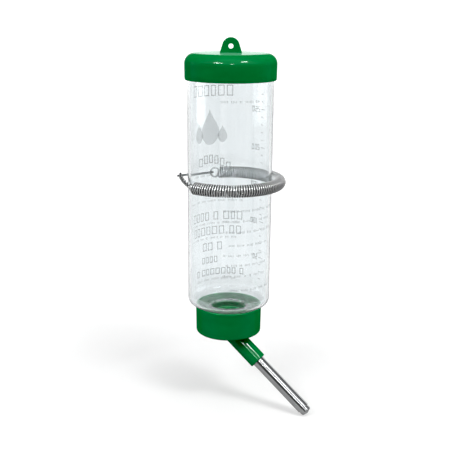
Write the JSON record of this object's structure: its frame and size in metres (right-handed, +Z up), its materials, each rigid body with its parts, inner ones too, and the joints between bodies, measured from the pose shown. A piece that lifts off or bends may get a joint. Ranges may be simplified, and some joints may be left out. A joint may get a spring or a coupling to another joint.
{
  "type": "rabbit water bottle",
  "caption": "Clear hanging water bottle with push-on lid and lug, screw-on base cap, slanted steel drinking spout with ball valve, and a coil mounting spring round the wall.",
  "frame": {"origin": "centre of the hanging hole in the lid's lug", "axes": "+Z up along the bottle's axis, +Y along the hanging hole, away from the viewer; the spout leans down towards +X and a little towards -Y"},
  "size_m": [0.0888, 0.0718, 0.2417],
  "materials": {
    "clear_plastic": "clear, glossy",
    "green_plastic": "glossy",
    "seal_rubber": "satin",
    "polished_steel": "polished",
    "spring_steel": "bright plated"
  },
  "bodies": {
    "bottle": {"bottle": "clear_plastic"},
    "lid_seal": {"lid_seal": "seal_rubber"},
    "lid": {"lid": "green_plastic"},
    "cap_washer": {"cap_washer": "seal_rubber"},
    "base_cap": {"base_cap": "green_plastic", "spout_seal": "seal_rubber", "spout_sleeve": "polished_steel", "spout_tube": "polished_steel"},
    "front_ball": {"front_ball": "polished_steel"},
    "rear_ball": {"rear_ball": "polished_steel"},
    "mounting_spring": {"spring": "spring_steel", "front_link": "spring_steel", "rear_link": "spring_steel"}
  },
  "joints": [
    {"name": "lid_lift", "type": "slide", "parent": "bottle", "child": "lid_seal", "axis": [0, 0, 1], "range_m": [0, 0.045]},
    {"name": "lid_turn", "type": "hinge", "parent": "lid_seal", "child": "lid", "pos_m": [0, 0, -0.01405], "axis": [0, 0, 1], "continuous": true},
    {"name": "cap_travel", "type": "slide", "parent": "bottle", "child": "cap_washer", "axis": [0, 0, -1], "range_m": [0, 0.0064]},
    {"name": "cap_turn", "type": "hinge", "parent": "cap_washer", "child": "base_cap", "pos_m": [0, 0, -0.1833], "axis": [0, 0, -1], "range_deg": [0, 720]},
    {"name": "front_ball_push", "type": "slide", "parent": "base_cap", "child": "front_ball", "axis": [-0.6943, 0.3237, 0.6428], "range_m": [0, 0.002]},
    {"name": "rear_ball_push", "type": "slide", "parent": "base_cap", "child": "rear_ball", "axis": [-0.6943, 0.3237, 0.6428], "range_m": [0, 0.002]},
    {"name": "spring_slide", "type": "slide", "parent": "bottle", "child": "mounting_spring", "axis": [0, 0, 1], "range_m": [-0.07, 0.055]}
  ],
  "couplings": [
    {"joint": "cap_travel", "follows": "cap_turn", "m_per_rad": 0.00050611},
    {"joint": "rear_ball_push", "follows": "front_ball_push", "ratio": 1}
  ]
}
